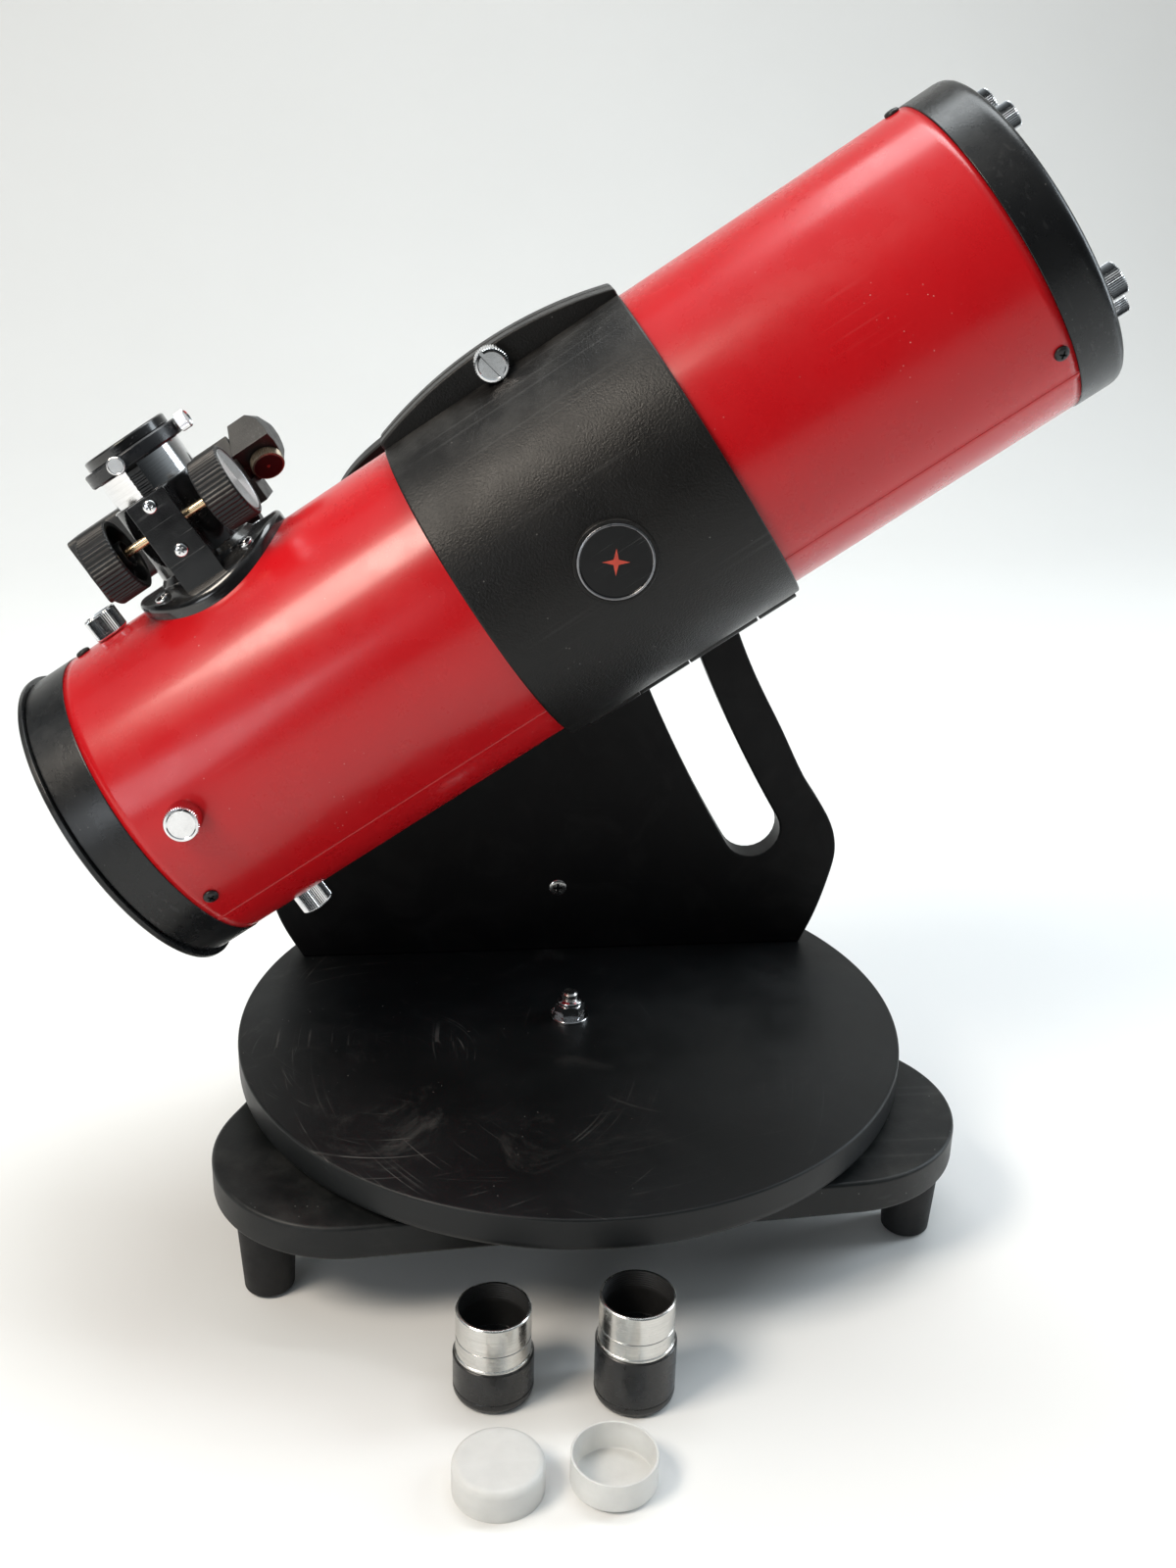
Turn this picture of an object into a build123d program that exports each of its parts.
from build123d import *
import math
import os

# Tabletop dobsonian reflector, 114 mm aperture, on a one-arm rocker base.
# Millimetres, +Z up. Drawn with the azimuth axis at x = y = 0 and the floor at
# z = 0; finish() then moves every piece so that the origin is under the middle
# of the box at rest. The side arm stands behind the tube (+Y); the open end of
# the tube points to -X and down. Two eyepieces and their caps stand on the
# floor at -Y.
#
# Name endings: _s station along the tube axis, growing towards the mirror;
# _r radius, _t thickness, _h height, _y and _z world coordinates.

os.makedirs("parts", exist_ok=True)

# ---- driving dimensions ----------------------------------------------------
centring = (10.979, 26.152, 0)      # azimuth axis from the middle of the footprint

tube_tilt = 33.63          # rest tilt of the tube axis, degrees
pivot_z = 332.6            # altitude axis above the floor
tube_y = -10.65            # plane of the tube axis
tube_r = 72.0              # steel tube outer radius
tube_wall = 1.2
front_s, rear_s = -224.0, 202.5     # ends of the bare tube
lip_s, end_s = -247.0, 224.3        # ends of the dust cap and the rear cap
trim_r = 72.5              # outside of the end rings
sleeve_r, sleeve_in = 70.75, 68.2   # part of an end ring inside the tube

foot_circle, foot_h = 175.0, 40.0
lobe_angle = 93.8          # direction of the first lobe, degrees
lobe_circle, lobe_r = 130.5, 62.0
board_z, board_t = foot_h, 17.0
pad_circle, pad_r, pad_t = 122.0, 12.5, 3.0
disc_r, disc_t = 163.0, 17.0
disc_z = board_z + board_t + pad_t
top_z = disc_z + disc_t    # upper face of the turntable

panel_y, panel_t = 69.0, 15.0
panel_back = panel_y + panel_t
bolt_r = 4.0               # azimuth and altitude bolts

cradle_front, cradle_rear = -53.0, 63.6     # stations
cradle_r, cradle_in = 76.0, 73.0
hinge_drop = 79.0          # hinge pin below the tube axis
clamp_s, clamp_h = 4.7, 81.5        # clamp screw: station, height over the axis

foc_s, foc_angle = -144.8, 95.5     # focuser station and angle round the tube
foc_top = 113.5
draw_r, draw_in = 19.5, 17.3
pinion_across, pinion_h = -24.4, 98.2
plate_out = 30.0           # face of the gear block, under the cover plate
gear_module, gear_teeth = 0.8, 12
tooth_pitch = math.pi * gear_module
socket_r = 15.95           # 31.75 mm eyepiece bore

spider_s = -200.0
mirror_r, mirror_t = 57.0, 12.0

# ---- reference frames of the tube -------------------------------------------
tilt = math.radians(tube_tilt)
AXIAL = Vector(math.cos(tilt), 0, math.sin(tilt))   # towards the mirror end
SIDE = Vector(0, -1, 0)                             # towards the open side
UP = Vector(-math.sin(tilt), 0, math.cos(tilt))     # across the tube, upwards


def tube_pt(along):
    return Vector(along * math.cos(tilt), tube_y, pivot_z + along * math.sin(tilt))


def around(angle):
    """Outward direction at an angle round the tube: 0 is SIDE, 90 is UP."""
    return SIDE * math.cos(math.radians(angle)) + UP * math.sin(math.radians(angle))


def section(along, angle=0, radius=0):
    """Plane across the tube; extruding goes towards the open end."""
    return Plane(origin=tube_pt(along) + around(angle) * radius, x_dir=SIDE, z_dir=AXIAL * -1)


def radial(along, angle, radius):
    """Plane facing outwards at a place on the tube."""
    return Plane(origin=tube_pt(along) + around(angle) * radius, x_dir=AXIAL, z_dir=around(angle))


def sideways(out, along=0, height=0):
    """Plane facing the open side: (station, height) from its origin."""
    origin = tube_pt(along) + UP * height + SIDE * out
    return Plane(origin=origin, x_dir=AXIAL, z_dir=SIDE)


def upright(y):
    """Plane parallel to the side arm; extruding goes towards -Y."""
    return Plane.XZ.offset(-y)


def altitude(y):
    """Plane square to the altitude axis; extruding goes towards +Y."""
    return Plane(origin=(0, y, pivot_z), x_dir=(-1, 0, 0), z_dir=(0, 1, 0))


def underside(x, y, z):
    """Plane facing the floor."""
    return Plane(origin=(x, y, z), x_dir=(1, 0, 0), z_dir=(0, 0, -1))


def facing_front(x, y, z):
    """Plane facing -Y: (x, z) from its origin."""
    return Plane(origin=(x, y, z), x_dir=(1, 0, 0), z_dir=(0, -1, 0))


TUBE_PROFILE = sideways(0)
TUBE_AXIS = Axis(tube_pt(0), AXIAL)

# Focuser frame: along the tube, across it towards the arm, and out of it
FOC_OUT = around(foc_angle)
FOC_ACROSS = FOC_OUT.cross(AXIAL)


def foc_pt(along, across, height):
    return tube_pt(foc_s) + AXIAL * along + FOC_ACROSS * across + FOC_OUT * height


def foc_level(height):
    """Focuser plane at a height above the tube axis."""
    return Plane(origin=foc_pt(0, 0, height), x_dir=AXIAL, z_dir=FOC_OUT)


def foc_section(along):
    """Focuser plane square to the tube axis: (across, height)."""
    return Plane(origin=foc_pt(along, 0, 0), x_dir=FOC_ACROSS, z_dir=AXIAL)


def foc_side(across, height=0):
    """Focuser plane facing the open side: (along, height)."""
    return Plane(origin=foc_pt(0, across, height), x_dir=AXIAL, z_dir=FOC_ACROSS * -1)


FOC_PROFILE = foc_side(0)
FOC_AXIS = Axis(foc_pt(0, 0, 0), FOC_OUT)


# ---- shared shapes ----------------------------------------------------------
# Sketches made in a helper do not join the caller's part, so each helper
# hands its own sketch to extrude or revolve.
def rod(plane, radius, length, centres=((0, 0),), mode=Mode.ADD):
    with BuildSketch(plane) as outline:
        with Locations(*centres):
            Circle(radius)
    extrude(outline.sketch, amount=length, mode=mode)


def drill(plane, radius, length, centres=((0, 0),)):
    """Round hole running along the plane's normal."""
    rod(plane, radius, length, centres, Mode.SUBTRACT)


def bore(plane, radius, depth, lead=3.0):
    """Round hole from a plane inwards, with a short lead outside it."""
    drill(plane.offset(lead), radius, -(depth + lead))


def pipe(plane, outer, inner, length, mode=Mode.ADD):
    with BuildSketch(plane) as outline:
        Circle(outer)
        Circle(inner, mode=Mode.SUBTRACT)
    extrude(outline.sketch, amount=length, mode=mode)


def polygon(plane, points):
    """Face bounded by straight lines; the last point joins the first."""
    with BuildSketch(plane) as outline:
        with BuildLine():
            Polyline(*points, points[0])
        make_face()
    return outline.sketch


def cross_recess(plane, length, width, depth):
    with BuildSketch(plane) as recess:
        Rectangle(length, width)
        Rectangle(width, length)
    extrude(recess.sketch, amount=-depth, mode=Mode.SUBTRACT)


def pan_screw(seat, head_r, head_h, shank_r, length):
    """Pan-head cross-recess screw, head seated on the plane."""
    profile = Plane(origin=seat.origin, x_dir=seat.x_dir, z_dir=seat.y_dir * -1)
    shoulder = (head_r, head_h * 0.4)
    with BuildSketch(profile) as half:
        with BuildLine():
            Polyline((0, head_h), (0, -length), (shank_r, -length), (shank_r, 0),
                     (head_r, 0), shoulder)
            ThreePointArc(shoulder, (head_r * 0.7, head_h * 0.86), (0, head_h))
        make_face()
    revolve(half.sketch, axis=Axis(seat.origin, seat.z_dir))
    lead = 0.2
    cross_recess(seat.offset(head_h + lead), head_r * 1.15, head_r * 0.3, head_h * 0.55 + lead)


def countersunk(plane, head_r, shank_r, length, mode=Mode.ADD):
    """Countersunk screw flush with the plane, or the hole for one."""
    inwards = (Align.CENTER, Align.CENTER, Align.MAX)
    with Locations(plane):
        Cone(shank_r, head_r, head_r - shank_r, align=inwards, mode=mode)
        Cylinder(shank_r, length, align=inwards, mode=mode)


def cap_drop(edge_r, rise, radius):
    """Height lost at a radius on a sphere that falls by rise at edge_r."""
    sphere_r = (edge_r ** 2 + rise ** 2) / (2 * rise)
    return sphere_r - math.sqrt(sphere_r ** 2 - radius ** 2)


def thirds(first):
    return [first + 120 * i for i in range(3)]


def polar(radius, angle):
    return (radius * math.cos(math.radians(angle)), radius * math.sin(math.radians(angle)))


def finish(part, name):
    placed = part.part.moved(Location(centring))
    placed.label = name
    export_step(placed, "parts/" + name + ".step")


# ==== ground base ============================================================
lobes = thirds(lobe_angle)
foot_spots = [polar(foot_circle, angle) for angle in lobes]
foot_hole_r, foot_pocket_h = 2.02, 12.0
bolt_pocket_h, hex_h = 8.0, 5.5
hex_inradius = 6.5         # half the width across flats
STANDING = (Align.CENTER, Align.CENTER, Align.MIN)

with BuildPart() as ground_board:
    with BuildSketch(Plane.XY.offset(board_z)):
        with Locations(*[polar(lobe_circle, angle) for angle in lobes]):
            Circle(lobe_r)
        make_hull()
    extrude(amount=board_t)
    fillet(ground_board.edges().group_by(Axis.Z)[-1], 1.5)
    fillet(ground_board.edges().group_by(Axis.Z)[0], 4.0)
    bore(Plane.XY.offset(board_z + board_t), 4.05, board_t + 1)
    drill(Plane.XY.offset(board_z - 1), 10.5, bolt_pocket_h + 1)
    drill(Plane.XY.offset(board_z - 1), foot_hole_r, 14, foot_spots)
finish(ground_board, "ground_board")

with BuildPart() as feet:
    for spot in foot_spots:
        with Locations((*spot, 0)):
            Cone(11, 13.5, foot_h, align=STANDING)
    fillet(feet.edges().group_by(Axis.Z)[0], 2.0)
    for spot in foot_spots:
        with Locations((*spot, 0)):
            Cylinder(5.0, foot_pocket_h, align=STANDING, mode=Mode.SUBTRACT)
            Cylinder(foot_hole_r, foot_h, align=STANDING, mode=Mode.SUBTRACT)
finish(feet, "feet")

with BuildPart() as foot_screws:
    for spot in foot_spots:
        pan_screw(underside(*spot, foot_pocket_h), head_r=4.2, head_h=2.6, shank_r=2.0, length=40.5)
finish(foot_screws, "foot_screws")

with BuildPart() as azimuth_pads:
    for angle in lobes:
        with Locations((*polar(pad_circle, angle), board_z + board_t)):
            Cylinder(pad_r, pad_t, align=STANDING)
finish(azimuth_pads, "azimuth_pads")

with BuildPart() as azimuth_bolt:
    with BuildSketch(Plane.XY.offset(board_z + bolt_pocket_h - hex_h)):
        RegularPolygon(hex_inradius, 6, major_radius=False)
    extrude(amount=hex_h)
    rod(Plane.XY.offset(board_z + bolt_pocket_h), bolt_r, 43)
    chamfer(azimuth_bolt.edges().group_by(Axis.Z)[-1], 0.8)
finish(azimuth_bolt, "azimuth_bolt")

# Washer, and above a small gap a hexagon with a round collar on top
washer_t, nut_h, collar_h = 1.6, 7.0, 1.9
nut_z = top_z + washer_t + 0.05
with BuildPart() as azimuth_locknut:
    rod(Plane.XY.offset(top_z), 9.8, washer_t)
    fillet(azimuth_locknut.edges().group_by(Axis.Z)[-1], 0.4)
    with BuildSketch(Plane.XY.offset(nut_z)):
        RegularPolygon(hex_inradius, 6, major_radius=False)
    extrude(amount=nut_h)
    rod(Plane.XY.offset(nut_z + nut_h), 6.0, collar_h)
    fillet(azimuth_locknut.edges().group_by(Axis.Z)[-1], 0.7)
    drill(Plane.XY.offset(top_z - 1), bolt_r + 0.03, 16)
finish(azimuth_locknut, "azimuth_locknut")

# ==== rotating rocker ========================================================
panel_screws = [(x, panel_y + panel_t / 2) for x in (-88, 88)]
brace_screws = [(0, 108), (0, 136)]
brace_t = 15.0
wood_hole_r, wood_sink_r = 2.25, 4.6
wood_screw_r, wood_head_r = 2.2, 4.5
cross_screw_z = 114        # screw through the panel into the brace

with BuildPart() as turntable_disc:
    rod(Plane.XY.offset(disc_z), disc_r, disc_t)
    fillet(turntable_disc.edges().group_by(Axis.Z)[-1], 1.4)
    fillet(turntable_disc.edges().group_by(Axis.Z)[0], 5.0)
    bore(Plane.XY.offset(top_z), 4.08, disc_t + 1)
    for spot in panel_screws + brace_screws:
        countersunk(underside(*spot, disc_z), wood_sink_r, wood_hole_r, disc_t + 1, Mode.SUBTRACT)
finish(turntable_disc, "turntable_disc")

# Outline of the side arm (x, z), from its foot at +X over the top to -X
panel_edge = [
    (132.5, top_z), (137.5, 88), (146.4, 117), (148.6, 131), (145.4, 146.5), (131, 170.6),
    (116, 199.6), (101.4, 227.3), (89.5, 254), (77, 290), (63, 331), (41, 364),
    (9, 380.5), (-26, 379.5), (-60, 368), (-88, 350.3), (-106.5, 331), (-117, 298),
    (-121, 258), (-128, 214), (-141, 170), (-150, 132), (-147.5, 104), (-134.4, top_z),
]
panel_slot = [(102.6, 144.2), (79.6, 186.0), (56.5, 236.0)]     # centre line (x, z)
panel_slot_w = 30
bushing_hole_r = 8.0

with BuildPart() as side_panel:
    with BuildSketch(upright(panel_back)):
        with BuildLine():
            Spline(*panel_edge)
            Line(panel_edge[-1], panel_edge[0])
        make_face()
    extrude(amount=panel_t)
    chamfer(side_panel.edges().filter_by(GeomType.BSPLINE), 1.2)
    with BuildSketch(upright(panel_back + 1)):
        with BuildLine() as slot_path:
            ThreePointArc(*panel_slot)
        SlotArc(slot_path.edges()[0], panel_slot_w)
        with Locations((0, pivot_z)):
            Circle(bushing_hole_r)
    extrude(amount=panel_t + 2, mode=Mode.SUBTRACT)
    countersunk(facing_front(0, panel_y, cross_screw_z), wood_sink_r, wood_hole_r,
                panel_t + 1, Mode.SUBTRACT)
    for spot in panel_screws:
        bore(underside(*spot, top_z), wood_hole_r, 26)
finish(side_panel, "side_panel")

brace_back, brace_top = 150, 214
with BuildPart() as rear_brace:
    with BuildSketch(Plane.YZ.offset(-brace_t / 2)):
        with BuildLine():
            Polyline((panel_back, top_z), (brace_back, top_z), (brace_back, 92))
            ThreePointArc((brace_back, 92), (112, 138), (97, brace_top))
            Polyline((97, brace_top), (panel_back, brace_top), (panel_back, top_z))
        make_face()
    extrude(amount=brace_t)
    chamfer(rear_brace.edges().group_by(Axis.Y)[-1], 0.8)
    bore(facing_front(0, panel_back, cross_screw_z), wood_hole_r, 21)
    for spot in brace_screws:
        bore(underside(*spot, top_z), wood_hole_r, 18)
finish(rear_brace, "rear_brace")

with BuildPart() as base_screws:
    for spot in panel_screws:
        countersunk(underside(*spot, disc_z), wood_head_r, wood_screw_r, 42)
    for spot in brace_screws:
        countersunk(underside(*spot, disc_z), wood_head_r, wood_screw_r, 34)
    front_seat = facing_front(0, panel_y, cross_screw_z)
    countersunk(front_seat, wood_head_r, wood_screw_r, 35)
    cross_recess(front_seat, length=4.8, width=1.1, depth=1.6)
finish(base_screws, "base_screws")

bushing_flange_t = 2.0
with BuildPart() as altitude_bushing:
    rod(altitude(panel_y), bushing_hole_r - 0.02, panel_t)
    rod(altitude(panel_back), 14, bushing_flange_t)
    drill(altitude(panel_y - 1), bolt_r + 0.06, panel_t + 4)
finish(altitude_bushing, "altitude_bushing")

friction_t = 2.5
friction_y = panel_y - friction_t
with BuildPart() as friction_washer:
    pipe(altitude(friction_y), 28, 4.2, friction_t)
finish(friction_washer, "friction_washer")

# ==== cradle =================================================================
# Two half shells, hinged below the tube and clamped above it. side is 1 for
# the near shell (open side) and -1 for the far shell (arm side).
cradle_len = cradle_rear - cradle_front
near_knuckles = [(-48, -21), (6, 41.8)]         # (front, rear) stations
far_knuckles = [(-20.4, 5.4), (42.6, 62)]
knuckle_r = 4.0
hinge_centre = [(0, -hinge_drop)]
flange_top, flange_end, flange_foot = 87.5, 78.6, 70.0
flange_gap = 0.6           # flange face from the split plane
near_flange_t, far_flange_t = 8.9, 8.0
clamp_out = flange_gap + near_flange_t
badge_s, badge_r = 5.9, 15.8
badge_floor = 75.5         # bottom of the badge recess, from the tube axis
boss_y = 40.0              # inner start of the altitude boss, inside the shell
bolt_seat_y = 65.1         # end of the pocket for the altitude bolt head
RIM = 0.9                  # edge chamfer of the shells


def half_pipe(side, rear, length, outer, split_gap, inner=None):
    """Half of a disc or pipe, ending split_gap from the split plane."""
    blank_w = 100
    with BuildSketch(section(rear)) as outline:
        Circle(outer)
        if inner:
            Circle(inner, mode=Mode.SUBTRACT)
        with Locations((-side * (blank_w / 2 - split_gap), 0)):
            Rectangle(blank_w, 200, mode=Mode.SUBTRACT)
    extrude(outline.sketch, amount=length)


def clamp_flange(out, thickness):
    mid_s = (cradle_front + cradle_rear) / 2
    with BuildSketch(sideways(out)) as outline:
        with BuildLine():
            ThreePointArc((cradle_front, flange_end), (mid_s, flange_top),
                          (cradle_rear, flange_end))
            Polyline((cradle_rear, flange_end), (cradle_rear, flange_foot),
                     (cradle_front, flange_foot), (cradle_front, flange_end))
        make_face()
    extrude(outline.sketch, amount=thickness)


def add_knuckles(side, spans):
    for front, rear in spans:
        with BuildSketch(section(rear)) as outline:
            with Locations(*hinge_centre):
                Circle(knuckle_r)
            with Locations((side * 3.4, -77)):
                Rectangle(5.3, 5)
        extrude(outline.sketch, amount=rear - front)


def clear_knuckles(spans):
    """Room for the other shell's knuckles."""
    gap = 0.4
    for front, rear in spans:
        drill(section(rear + gap), knuckle_r + 0.35, rear - front + 2 * gap, hinge_centre)


with BuildPart() as cradle_near_shell:
    half_pipe(1, cradle_rear, cradle_len, cradle_r, split_gap=0.75)
    chamfer(cradle_near_shell.edges().filter_by(GeomType.CIRCLE), RIM)
    clamp_flange(flange_gap, near_flange_t)
    add_knuckles(1, near_knuckles)
    rod(radial(badge_s, 0, 60), 17.4, 16.7)
    drill(section(cradle_rear + 1), cradle_in, cradle_len + 2)
    drill(radial(badge_s, 0, badge_floor), badge_r + 0.05, 4)
    clear_knuckles(far_knuckles)
    drill(section(cradle_rear + 1), 1.56, cradle_len + 2, hinge_centre)
    bore(sideways(clamp_out, clamp_s, clamp_h), 2.55, 10)
    drill(sideways(clamp_out, clamp_s, clamp_h), 7.8, 14)
finish(cradle_near_shell, "cradle_near_shell")

with BuildPart() as cradle_far_shell:
    half_pipe(-1, cradle_rear, cradle_len, cradle_r, split_gap=0.75)
    chamfer(cradle_far_shell.edges().filter_by(GeomType.CIRCLE), RIM)
    clamp_flange(-flange_gap - far_flange_t, far_flange_t)
    rod(altitude(boss_y), 30, friction_y - boss_y)
    add_knuckles(-1, far_knuckles)
    drill(section(cradle_rear + 1), cradle_in, cradle_len + 2)
    clear_knuckles(near_knuckles)
    drill(section(cradle_rear + 1), 1.52, cradle_len + 2, hinge_centre)
    bore(sideways(flange_gap, clamp_s, clamp_h), 3.3, 12)
    drill(altitude(boss_y), 10.1, bolt_seat_y - boss_y)
    drill(altitude(60), bolt_r + 0.03, 10)
finish(cradle_far_shell, "cradle_far_shell")

with BuildPart() as cradle_hinge_pin:
    rod(section(62.4), 1.5, 110.8, hinge_centre)
finish(cradle_hinge_pin, "cradle_hinge_pin")

liner_inset = 0.3
liner = dict(rear=cradle_rear - liner_inset, length=cradle_len - 2 * liner_inset,
             outer=cradle_in - 0.02, split_gap=1.0, inner=tube_r + 0.06)
with BuildPart() as near_liner:
    half_pipe(1, **liner)
finish(near_liner, "near_liner")

with BuildPart() as far_liner:
    half_pipe(-1, **liner)
    drill(altitude(boss_y), 10.4, 30)
finish(far_liner, "far_liner")

bolt_head_h = 3.3
with BuildPart() as altitude_bolt:
    rod(altitude(bolt_seat_y - 0.05 - bolt_head_h), 10.0, bolt_head_h)
    rod(altitude(bolt_seat_y - 0.05), bolt_r, 33.5)
finish(altitude_bolt, "altitude_bolt")

with BuildPart() as badge:
    rod(radial(badge_s, 0, badge_floor + 0.02), badge_r, 1.9)
    fillet(badge.faces().sort_by(Axis((0, 0, 0), (0, -1, 0)))[-1].edges(), 0.5)
finish(badge, "badge")

clamp_seat = sideways(clamp_out + 0.1, clamp_s, clamp_h)
with BuildPart() as clamp_thumbscrew:
    rod(clamp_seat, 7.4, 9.8)
    chamfer(clamp_thumbscrew.edges().filter_by(GeomType.CIRCLE), 0.7)
    rod(clamp_seat, 2.5, -17.4)
    # Straight slot across the outer face
    with BuildSketch(clamp_seat.offset(10.5)):
        Rectangle(11, 1.8)
    extrude(amount=-2.4, mode=Mode.SUBTRACT)
finish(clamp_thumbscrew, "clamp_thumbscrew")

with BuildPart() as tension_knob:
    rod(altitude(panel_back + bushing_flange_t + 0.1), 11, 4)
    # Grip with eight scallops
    with BuildSketch(altitude(90)):
        Circle(24)
        with PolarLocations(28.5, 8):
            Circle(8.0, mode=Mode.SUBTRACT)
    extrude(amount=14)
    fillet(tension_knob.edges().group_by(Axis.Y)[-1], 2.0)
    drill(altitude(85), bolt_r + 0.06, 14.2)
finish(tension_knob, "tension_knob")

# ==== optical tube ===========================================================
ring_angles = thirds(-25)
stud_angles = [5.5 + 90 * i for i in range(4)]
foc_flange_r = 77.3        # outside of the focuser flange, from the tube axis
front_screws = [radial(-216, angle, tube_r) for angle in ring_angles]
rear_screws = [radial(197.4, angle, tube_r) for angle in ring_angles]
foc_screws = [radial(foc_s + along, foc_angle + turn, foc_flange_r)
              for along in (-21.5, 21.5) for turn in (-16.2, 16.2)]
bracket_screws = [radial(foc_s + along, foc_angle + 46.0, 76.0) for along in (-15, 15)]
pilot_r, clearance_r = 1.22, 1.25       # holes for the small cross-recess screws

with BuildPart() as optical_tube:
    pipe(section(rear_s), tube_r, tube_r - tube_wall, rear_s - front_s)
    drill(foc_level(50), 24, 40)
    for seat in front_screws + rear_screws:
        bore(seat, clearance_r, 5)
    for seat in foc_screws + bracket_screws:
        bore(seat, clearance_r, 12)
    for angle in stud_angles:
        bore(radial(spider_s, angle, tube_r), 2.05, 5)
finish(optical_tube, "optical_tube")

# Profiles of the turned tube parts: (station, radius)
ring_s = -244.0            # open end of the front ring
front_ring_profile = [
    (-212, sleeve_in), (-212, sleeve_r), (front_s, sleeve_r), (front_s, trim_r),
    (ring_s + 0.8, trim_r), (ring_s, trim_r - 0.8), (ring_s, 66.5), (-222, 66.5),
    (-222, sleeve_in),
]
dust_cap_profile = [
    (lip_s, 0), (lip_s, 40), (lip_s + 1, 42), (lip_s + 1, 52), (lip_s, 54), (lip_s, 73.6),
    (lip_s + 0.9, 74.5), (ring_s - 0.05, 74.5), (ring_s - 0.05, 66.42), (-235, 66.42),
    (-235, 64.6), (lip_s + 2.2, 64.6), (lip_s + 2.2, 0),
]

with BuildPart() as front_ring:
    revolve(polygon(TUBE_PROFILE, front_ring_profile), axis=TUBE_AXIS)
    for seat in front_screws:
        bore(seat, pilot_r, 5)
finish(front_ring, "front_ring")

with BuildPart() as front_dust_cap:
    revolve(polygon(TUBE_PROFILE, dust_cap_profile), axis=TUBE_AXIS)
finish(front_dust_cap, "front_dust_cap")

cap_fillet = 6.3
fillet_mid = cap_fillet * 0.2929        # inset of the arc's middle: 1 - cos 45
cap_floor_s = 220.3
col_angles, lock_angles = thirds(-25), thirds(-45)
col_circle, lock_circle = 53.0, 50.0
vent_angles = [first + step for first in thirds(10) for step in (0, 45)]
vent_circle, vent_span, vent_w = 33, 34, 6
cap_cut = 8                # length of the cuts through the end wall

with BuildPart() as rear_cap:
    with BuildSketch(TUBE_PROFILE):
        with BuildLine():
            Polyline((end_s - cap_fillet, trim_r), (rear_s, trim_r), (rear_s, sleeve_r),
                     (190, sleeve_r), (190, sleeve_in), (204, sleeve_in), (204, 66),
                     (cap_floor_s, 66), (cap_floor_s, 0), (end_s, 0),
                     (end_s, trim_r - cap_fillet))
            ThreePointArc((end_s, trim_r - cap_fillet),
                          (end_s - fillet_mid, trim_r - fillet_mid),
                          (end_s - cap_fillet, trim_r))
        make_face()
    revolve(axis=TUBE_AXIS)
    for angle in col_angles:
        drill(section(end_s + 1, angle, col_circle), 2.6, cap_cut)
    for angle in lock_angles:
        drill(section(end_s + 1, angle, lock_circle), 2.06, cap_cut)
    for angle in vent_angles:
        with BuildSketch(section(end_s + 1)):
            with BuildLine() as vent:
                CenterArc((0, 0), vent_circle, angle - vent_span / 2, vent_span)
            SlotArc(vent.edges()[0], vent_w)
        extrude(amount=cap_cut, mode=Mode.SUBTRACT)
    for seat in rear_screws:
        bore(seat, pilot_r, 5)
finish(rear_cap, "rear_cap")

# Plate behind the mirror with three studs, and three clips round the mirror's rim
cell_s, clip_w = 213, 9
with BuildPart() as primary_cell:
    pipe(section(cell_s), 62, 18, 5)
    for angle in col_angles:
        rod(section(231, angle, col_circle), 2.0, 20)
    for angle in thirds(35):
        with Locations(radial(0, angle, 0)):
            with Locations((201.9, 0, 57.1)):
                Box(14.2, clip_w, 2.6, align=STANDING)
            with Locations((195.3, 0, 52.6)):
                Box(1.0, clip_w, 5.0, align=STANDING)
finish(primary_cell, "primary_cell")

mirror_edge_s, mirror_dish = 196.0, 1.8
mirror_mid_s = mirror_edge_s + mirror_dish
mirror_back_s = mirror_edge_s + mirror_t
with BuildPart() as primary_mirror:
    with BuildSketch(TUBE_PROFILE):
        with BuildLine():
            half_r = mirror_r / 2
            ThreePointArc((mirror_mid_s, 0),
                          (mirror_mid_s - cap_drop(mirror_r, mirror_dish, half_r), half_r),
                          (mirror_edge_s, mirror_r))
            Polyline((mirror_edge_s, mirror_r), (mirror_back_s, mirror_r), (mirror_back_s, 0),
                     (mirror_mid_s, 0))
        make_face()
    revolve(axis=TUBE_AXIS)
finish(primary_mirror, "primary_mirror")

springs = []
for angle in col_angles:
    with BuildPart() as one_spring:
        with BuildLine() as coil:
            Helix(pitch=1.9, height=5.6, radius=4.2,
                  center=tube_pt(213.8) + around(angle) * col_circle, direction=AXIAL)
        with BuildSketch(coil.line ^ 0):
            Circle(0.55)
        sweep()
    springs.append(one_spring.part)
with BuildPart() as cell_springs:
    add(springs)
finish(cell_springs, "cell_springs")

for i, angle in enumerate(col_angles):
    with BuildPart() as collimation_knob:
        rod(section(234.8, angle, col_circle), 7.5, 8.2)
        chamfer(collimation_knob.edges().filter_by(GeomType.CIRCLE), 0.6)
        rod(section(226.7, angle, col_circle), 4.6, 2.3)
        drill(section(231.2, angle, col_circle), 2.06, 9)
    finish(collimation_knob, "collimation_knob_%d" % (i + 1))

# Steps of a lock screw, head to tip: (rear station, radius, length)
lock_steps = [(236, 6.0, 9.6), (226.4, 3.6, 2.05), (224.4, 2.0, 11.3)]
with BuildPart() as lock_screws:
    for angle in lock_angles:
        for rear, radius, length in lock_steps:
            rod(section(rear, angle, lock_circle), radius, length)
finish(lock_screws, "lock_screws")

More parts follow.
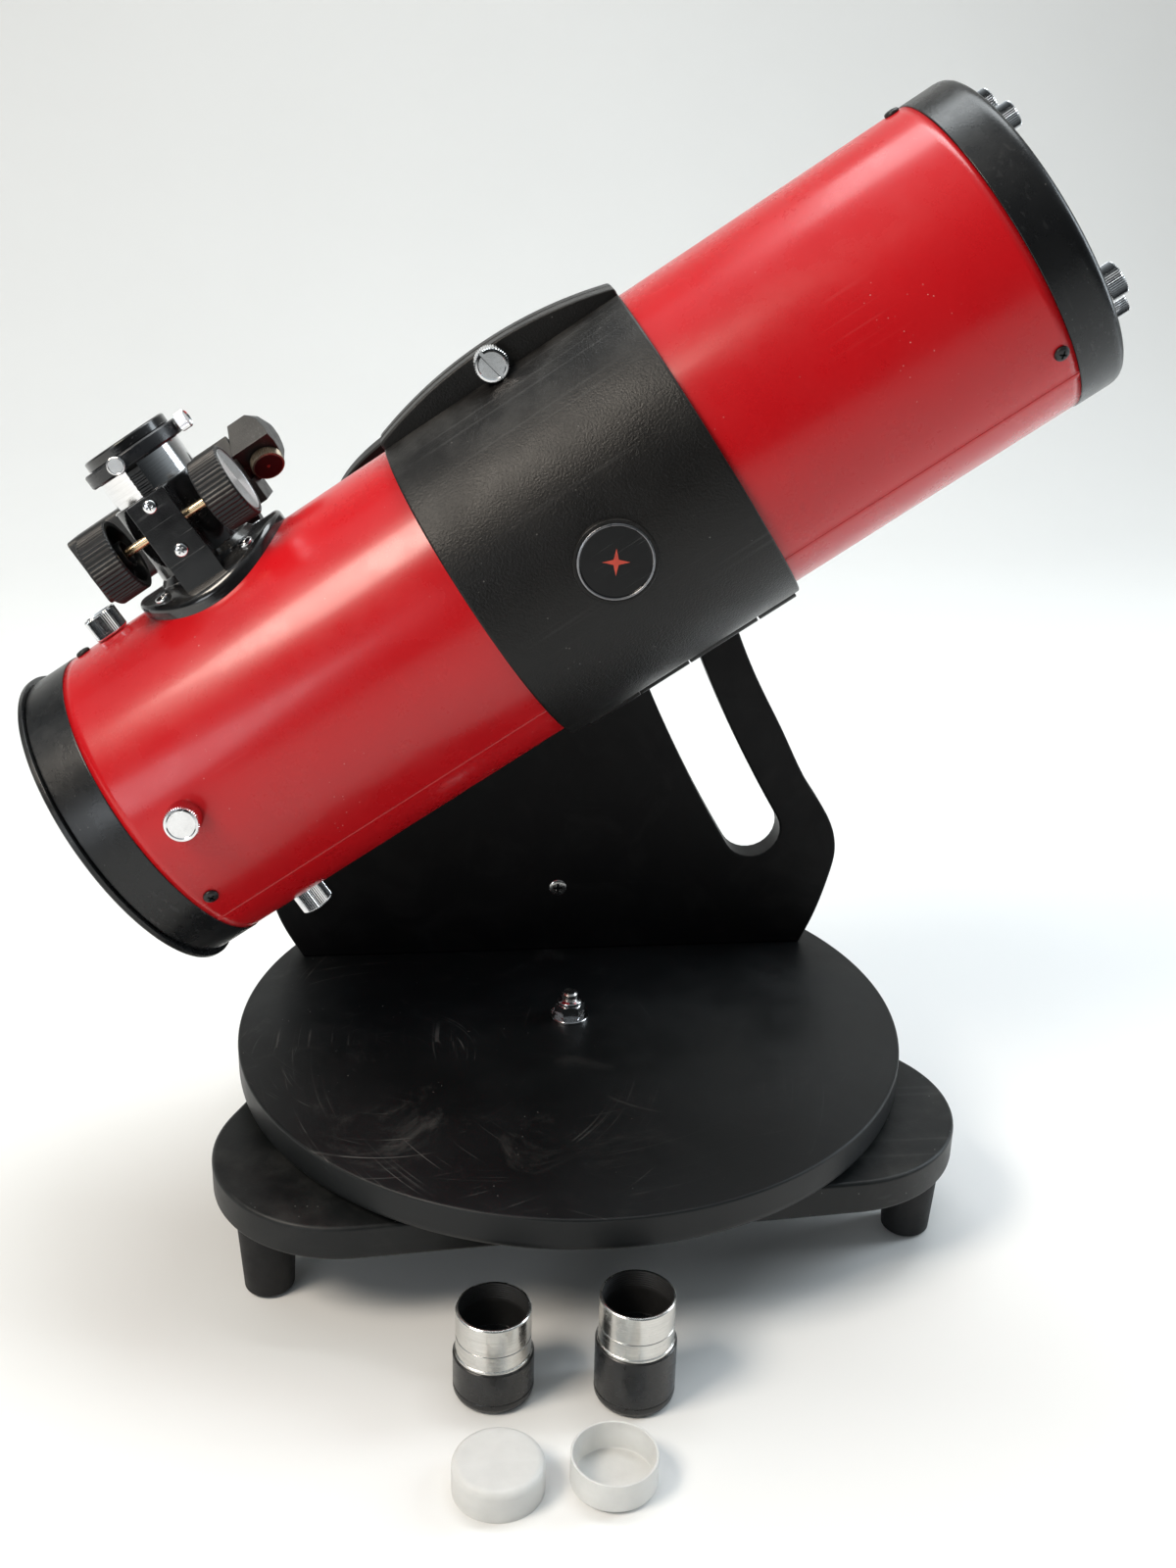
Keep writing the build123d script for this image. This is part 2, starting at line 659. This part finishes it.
vane_t, vane_w, vane_r = 0.9, 12, 70.2
hub_r, hub_len = 9, 18
with BuildPart() as spider:
    with BuildSketch(section(spider_s + vane_w / 2)):
        for angle in stud_angles[:2]:
            Rectangle(2 * vane_r, vane_t, rotation=angle)
    extrude(amount=vane_w)
    rod(section(spider_s + 10), hub_r, hub_len)
    for angle in stud_angles:
        with Locations(radial(spider_s, angle, 69.5)):
            Box(vane_w, 9, 1.0, align=STANDING)
            Cylinder(2.0, 10.6, align=STANDING)
    drill(section(spider_s + 30), 2.06, 60)
finish(spider, "spider")

with BuildPart() as spider_thumbnuts:
    for angle in stud_angles:
        rod(radial(spider_s, angle, tube_r + 0.06), 7.7, 10.9)
    chamfer(spider_thumbnuts.edges().filter_by(GeomType.CIRCLE), 0.6)
    for angle in stud_angles:
        drill(radial(spider_s, angle, tube_r - 1), 2.03, 9.3)
finish(spider_thumbnuts, "spider_thumbnuts")

# The flat mirror bisects the tube axis and the focuser axis
flat_plane = Plane(origin=foc_pt(0, 0, 0), x_dir=FOC_ACROSS, z_dir=(AXIAL + FOC_OUT).normalized())
flat_t = 4.5

with BuildPart() as secondary_mirror:
    rod(section(foc_s + 30), 17.0, 70)
    split(bisect_by=flat_plane, keep=Keep.BOTTOM)
    split(bisect_by=flat_plane.offset(-flat_t), keep=Keep.TOP)
finish(secondary_mirror, "secondary_mirror")

with BuildPart() as secondary_holder:
    rod(section(foc_s + 30), 15.6, 62)
    split(bisect_by=flat_plane.offset(-flat_t - 0.02), keep=Keep.BOTTOM)
    rod(section(-170), 2.0, 44)
    rod(section(-176), 7.0, 6)
finish(secondary_holder, "secondary_holder")

# ==== focuser ================================================================
block_w = 18.8             # gear block on the open side of the focuser
plate_t, plate_h = 2, 29.8
cover_screw_heights = (87.5, 108.9)
neck_h = 68                # start of the neck, inside the tube wall
pinion_centre = [(pinion_across, pinion_h)]

with BuildPart() as focuser_base:
    # Saddle flange between the tube and a larger coaxial cylinder
    rod(foc_level(55), 36.8, 30)
    rod(section(foc_s + 45), foc_flange_r, 90, mode=Mode.INTERSECT)
    rod(foc_level(neck_h), 22, foc_top - neck_h)
    with BuildSketch(foc_level(neck_h)):
        with Locations((0, -plate_out / 2)):
            Rectangle(block_w, plate_out)
    extrude(amount=113.2 - neck_h)
    drill(section(foc_s + 45), tube_r + 0.03, 90)
    # Bore for the drawtube, with a groove for the rack
    with BuildSketch(foc_level(50)):
        Circle(draw_r + 0.05)
        with Locations((0, -18.5)):
            Rectangle(6.8, 4.2)
    extrude(amount=70, mode=Mode.SUBTRACT)
    # Gear chamber
    with BuildSketch(foc_level(92)):
        with Locations((0, -24.6)):
            Rectangle(12.8, 11.4)
    extrude(amount=12.4, mode=Mode.SUBTRACT)
    drill(foc_section(-12), 2.06, 24, pinion_centre)
    for height in cover_screw_heights:
        bore(foc_side(-plate_out, height), pilot_r, 5.6)
    for seat in foc_screws:
        bore(seat, clearance_r, 9, lead=1)
finish(focuser_base, "focuser_base")

with BuildPart() as rack_cover_plate:
    with BuildSketch(foc_side(-plate_out)):
        with Locations((0, 98.3)):
            RectangleRounded(block_w, plate_h, 1.0)
    extrude(amount=plate_t)
    for height in cover_screw_heights:
        bore(foc_side(-plate_out - plate_t, height), clearance_r, 4)
finish(rack_cover_plate, "rack_cover_plate")

cover_screws = [foc_side(-plate_out - plate_t, height) for height in cover_screw_heights]
with BuildPart() as phillips_screws:
    for seat in front_screws + rear_screws:
        pan_screw(seat, head_r=3.3, head_h=1.9, shank_r=1.2, length=3.4)
    for seat in foc_screws:
        pan_screw(seat, head_r=3.6, head_h=2.2, shank_r=1.2, length=7.5)
    for seat in bracket_screws:
        pan_screw(seat, head_r=3.0, head_h=1.8, shank_r=1.2, length=6.5)
    for seat in cover_screws:
        pan_screw(seat, head_r=3.0, head_h=1.7, shank_r=1.2, length=6.5)
finish(phillips_screws, "phillips_screws")

draw_foot, draw_top = 62, 126.4
with BuildPart() as drawtube:
    pipe(foc_level(draw_foot), draw_r, draw_in, draw_top - draw_foot)
    # Seat for the rack
    with BuildSketch(foc_level(67)):
        with Locations((0, -19.0)):
            Rectangle(6.06, 2.2)
    extrude(amount=58, mode=Mode.SUBTRACT)
finish(drawtube, "drawtube")

# Rack section (across, height), with teeth half a pitch off the pinion's level
rack_back, rack_root, rack_tip = -17.92, -18.9, -20.2
rack_foot, rack_head, rack_w = 67.1, 124.9, 6
root_half, tip_half = 0.74, 0.26        # half widths of a tooth
teeth_above = int((rack_head - root_half - pinion_h) / tooth_pitch + 0.5)
teeth_below = int((pinion_h - rack_foot - root_half) / tooth_pitch + 0.5)
rack_points = [(rack_back, rack_foot), (rack_back, rack_head), (rack_root, rack_head)]
for k in range(teeth_above - 1, -teeth_below - 1, -1):
    mid_h = pinion_h + (k + 0.5) * tooth_pitch
    rack_points += [(rack_root, mid_h + root_half), (rack_tip, mid_h + tip_half),
                    (rack_tip, mid_h - tip_half), (rack_root, mid_h - root_half)]
rack_points.append((rack_root, rack_foot))
with BuildPart() as focus_rack:
    extrude(polygon(foc_section(-rack_w / 2), rack_points), amount=rack_w)
finish(focus_rack, "focus_rack")

# One pinion tooth: (radius, angle from its middle in radians)
tooth_points = [(4.05, -0.155), (4.8, -0.098), (5.3, -0.045),
                (5.3, 0.045), (4.8, 0.098), (4.05, 0.155)]
gear_points = []
for i in range(gear_teeth):
    for radius, offset in tooth_points:
        theta = 2 * math.pi * i / gear_teeth + offset
        gear_points.append((pinion_across + radius * math.cos(theta),
                            pinion_h + radius * math.sin(theta)))
gear_w, shaft_len = 5.8, 62
with BuildPart() as pinion_shaft:
    extrude(polygon(foc_section(-gear_w / 2), gear_points), amount=gear_w)
    rod(foc_section(-shaft_len / 2), 2.0, shaft_len, pinion_centre)
finish(pinion_shaft, "pinion_shaft")

knob_in, knob_out, knob_r = 21.2, 35.7, 16.6
knob_disc_r = 14.55


def knob_plane(side, along):
    """Plane on the pinion axis facing away from the focuser on one side."""
    origin = foc_pt(side * along, pinion_across, pinion_h)
    return Plane(origin=origin, x_dir=FOC_ACROSS, z_dir=AXIAL * side)


with BuildPart() as focus_knobs:
    for side in (1, -1):
        inner_face = knob_plane(side, knob_in)
        rod(inner_face, knob_r, knob_out - knob_in)
        # The second pass selects the first knob's outer edges again
        circles = focus_knobs.edges().filter_by(GeomType.CIRCLE)
        chamfer(circles.filter_by(lambda edge: abs(edge.radius - knob_r) < 0.01), 0.5)
        pipe(inner_face, 13.4, 5.2, 6, Mode.SUBTRACT)
        drill(inner_face, 2.02, 10)
        drill(knob_plane(side, knob_out - 1.1), knob_disc_r + 0.07, 3)
finish(focus_knobs, "focus_knobs")

with BuildPart() as knob_discs:
    for side in (1, -1):
        rod(knob_plane(side, knob_out - 1.08), knob_disc_r, 0.9)
finish(knob_discs, "knob_discs")

# Profiles of the turned focuser parts: (radius, height)
collar_profile = [
    (socket_r, 104), (17.25, 104), (17.25, 126.45), (22.2, 126.45), (23, 127.2), (23, 132.3),
    (22.3, 133), (19, 133), (19, 134.5), (socket_r + 0.5, 134.5), (socket_r, 134.0),
]
socket_cap_profile = [(0, 134.6), (19.08, 134.6), (19.08, 133.15), (19.9, 133.15),
                      (19.9, 137.0), (19.2, 137.7), (0, 137.7)]
thumb_angles = [-95, -5]   # from AXIAL towards FOC_ACROSS
thumb_h = 129.9


def thumb_plane(angle, radius):
    """Plane facing outwards from the focuser axis at the thumbscrew height."""
    turn = math.radians(angle)
    outward = AXIAL * math.cos(turn) + FOC_ACROSS * math.sin(turn)
    return Plane(origin=foc_pt(0, 0, thumb_h) + outward * radius, x_dir=FOC_OUT, z_dir=outward)


with BuildPart() as eyepiece_collar:
    revolve(polygon(FOC_PROFILE, collar_profile), axis=FOC_AXIS)
    for angle in thumb_angles:
        drill(thumb_plane(angle, 14), 1.56, 12)
finish(eyepiece_collar, "eyepiece_collar")

for i, angle in enumerate(thumb_angles):
    with BuildPart() as collar_thumbscrew:
        rod(thumb_plane(angle, 16.4), 1.5, 7.5)
        rod(thumb_plane(angle, 23.3), 4.1, 5.6)
    finish(collar_thumbscrew, "collar_thumbscrew_%d" % (i + 1))

with BuildPart() as focuser_dust_cap:
    revolve(polygon(FOC_PROFILE, socket_cap_profile), axis=FOC_AXIS)
finish(focuser_dust_cap, "focuser_dust_cap")

# ==== reflex finder ==========================================================
# Sections are (across, height) in the focuser frame
bracket_section = [
    (39.2, 50), (39.2, 63.5), (41.5, 66.5), (42, 77), (36, 77), (37.5, 81), (48.5, 81),
    (50, 77), (48, 70), (56.5, 55), (56.5, 40),
]
bracket_len = 40
with BuildPart() as finder_bracket:
    extrude(polygon(foc_section(-bracket_len / 2), bracket_section), amount=bracket_len)
    drill(section(foc_s + 30), tube_r + 0.03, 60)
    for seat in bracket_screws:
        drill(seat, 3.4, 8)
        bore(seat, pilot_r, 8)
finish(finder_bracket, "finder_bracket")

housing_section = [(30, 105), (41.5, 117), (53, 105), (53, 97), (46, 89.2), (42.3, 89.2)]
# Side outline of the housing: (along, minus height)
housing_profile = [
    (26, -88), (42, -88), (46, -94), (47.2, -101), (47.2, -107), (45.5, -113), (41, -117.2),
    (32, -117.2), (30.5, -113), (26, -100),
]
mid_section = [(31, 92), (31, 103), (41.5, 113.8), (52, 103), (52, 92)]
foot_slot = [(35.7, 80), (48.3, 80), (47.7, 81.1), (36.3, 81.1)]
finder_across = 42.0       # middle of the finder
window_w, window_h, window_mid = 21, 22, 100
hood_front, hood_len = -57, 34

# The power wheel sits on a face that looks to the open side and down at the tube
wheel_tilt = math.radians(38.0)
wheel_out = FOC_ACROSS * -math.cos(wheel_tilt) + FOC_OUT * -math.sin(wheel_tilt)


def wheel_plane(out):
    """Plane of the power wheel at a distance out from its seat."""
    return Plane(origin=foc_pt(38.6, 37.2, 95.8) + wheel_out * out, x_dir=AXIAL, z_dir=wheel_out)


with BuildPart() as finder_body:
    extrude(polygon(foc_section(24), housing_section), amount=24)
    profile_plane = Plane(origin=foc_pt(0, 20, 0), x_dir=AXIAL, z_dir=FOC_ACROSS)
    extrude(polygon(profile_plane, housing_profile), amount=40, mode=Mode.INTERSECT)
    extrude(polygon(foc_section(0), mid_section), amount=29)
    # Rail along the bottom
    with BuildSketch(foc_section(-50)):
        with Locations((finder_across, 86.5)):
            Rectangle(22, 11)
    extrude(amount=80)
    # Cheeks between the hood and the housing
    with BuildSketch(foc_section(-23)):
        with Locations((32.5, 96.5), (51.5, 96.5)):
            Rectangle(3, 31)
    extrude(amount=24)
    # Hood with its window
    with BuildSketch(foc_section(hood_front)):
        with Locations((finder_across, 97.5)):
            RectangleRounded(26, 33, 3)
    extrude(amount=hood_len)
    with BuildSketch(foc_section(hood_front - 3)):
        with Locations((finder_across, window_mid)):
            RectangleRounded(window_w, window_h, 2)
    extrude(amount=hood_len + 3, mode=Mode.SUBTRACT)
    drill(wheel_plane(0.5), 1.55, -8)
    extrude(polygon(foc_section(hood_front), foot_slot), amount=90, mode=Mode.SUBTRACT)
finish(finder_body, "finder_body")

lens_origin = foc_pt(-42, finder_across, window_mid)
with BuildPart() as finder_lens:
    with BuildSketch(Plane(origin=lens_origin, x_dir=FOC_ACROSS, z_dir=AXIAL)):
        RectangleRounded(window_w - 0.1, window_h - 0.1, 1.95)
    extrude(amount=1.8)
finish(finder_lens, "finder_lens")

with BuildPart() as finder_power_wheel:
    rod(wheel_plane(0.1), 7.7, 5.4)
    chamfer(finder_power_wheel.edges().filter_by(GeomType.CIRCLE), 0.4)
    rod(wheel_plane(1), 1.5, -7.5)
finish(finder_power_wheel, "finder_power_wheel")

# ==== eyepieces and their storage caps, standing by the base ==================
# name, x, y, height of the body, overall height
eyepieces = [
    ("eyepiece_1", -47.8, -171.6, 21.0, 42.9),
    ("eyepiece_2", 11.2, -178.3, 29.0, 51.0),
]
body_r, body_in = 17.1, 14.6
barrel_r = 15.875          # half of 31.75 mm
eye_lens_r, eye_lens_rise = 9.45, 1.6
field_lens_r, field_lens_rise = 14.55, 2.8


def standing_axis(x, y):
    return Axis((x, y, 0), (0, 0, 1))


# All profiles here are (radius, height)
for name, x, y, body_h, total_h in eyepieces:
    profile = facing_front(x, y, 0)
    spin = standing_axis(x, y)
    with BuildPart() as eyepiece_body:
        with BuildSketch(profile):
            with BuildLine():
                Polyline((12.5, 0), (13.6, 0))
                ThreePointArc((13.6, 0), (16.08, 1.06), (body_r, 3.5))
                Polyline((body_r, 3.5), (body_r, body_h - 0.5), (body_r - 0.5, body_h),
                         (body_in, body_h), (body_in, 9), (9.5, 9), (9.5, 5), (12.5, 0))
            make_face()
        revolve(axis=spin)
    finish(eyepiece_body, name + "_body")
    barrel_profile = [
        (body_in, body_h + 0.02), (16.4, body_h + 0.02), (16.4, body_h + 1.2),
        (barrel_r, body_h + 1.4), (barrel_r, total_h - 0.5), (15.4, total_h), (body_in, total_h),
    ]
    with BuildPart() as eyepiece_barrel:
        revolve(polygon(profile, barrel_profile), axis=spin)
    finish(eyepiece_barrel, name + "_barrel")
    with BuildPart() as eyepiece_lenses:
        # Lower lens, bulging downwards
        with BuildSketch(profile):
            with BuildLine():
                ThreePointArc((0, 4.6), (4.8, 4.6 + cap_drop(eye_lens_r, eye_lens_rise, 4.8)),
                              (eye_lens_r, 6.2))
                Polyline((eye_lens_r, 6.2), (eye_lens_r, 8.6), (0, 8.6), (0, 4.6))
            make_face()
        revolve(axis=spin)
        # Upper lens, bulging upwards
        with BuildSketch(profile):
            with BuildLine():
                Polyline((0, 12), (field_lens_r, 12), (field_lens_r, 14.5))
                ThreePointArc((field_lens_r, 14.5),
                              (7.4, 17.3 - cap_drop(field_lens_r, field_lens_rise, 7.4)),
                              (0, 17.3))
                Line((0, 17.3), (0, 12))
            make_face()
        revolve(axis=spin)
    finish(eyepiece_lenses, name + "_lenses")

cap_h, cap_wall = 14.5, 1.3
cap_1_spot, cap_2_spot = (-49, -226), (-3.3, -226.8)

# Rounded cap, open side down
cap_1_r, cap_1_in, round_r = 18.5, 17.3, 3.2
with BuildPart() as storage_cap_1:
    with BuildSketch(facing_front(*cap_1_spot, 0)):
        with BuildLine():
            Polyline((cap_1_in, 0), (cap_1_r, 0), (cap_1_r, cap_h - round_r))
            ThreePointArc((cap_1_r, cap_h - round_r), (17.56, cap_h - 0.94),
                          (cap_1_r - round_r, cap_h))
            Polyline((cap_1_r - round_r, cap_h), (0, cap_h), (0, cap_h - cap_wall),
                     (cap_1_r - round_r, cap_h - cap_wall))
            ThreePointArc((cap_1_r - round_r, cap_h - cap_wall), (16.7, cap_h - 1.8),
                          (cap_1_in, cap_h - round_r))
            Line((cap_1_in, cap_h - round_r), (cap_1_in, 0))
        make_face()
    revolve(axis=standing_axis(*cap_1_spot))
finish(storage_cap_1, "storage_cap_1")

# Bevelled cap, open side up
cap_2_profile = [(0, 0), (15.7, 0), (17.5, 1.8), (17.5, cap_h), (16.4, cap_h),
                 (16.4, cap_wall), (0, cap_wall)]
with BuildPart() as storage_cap_2:
    revolve(polygon(facing_front(*cap_2_spot, 0), cap_2_profile), axis=standing_axis(*cap_2_spot))
finish(storage_cap_2, "storage_cap_2")
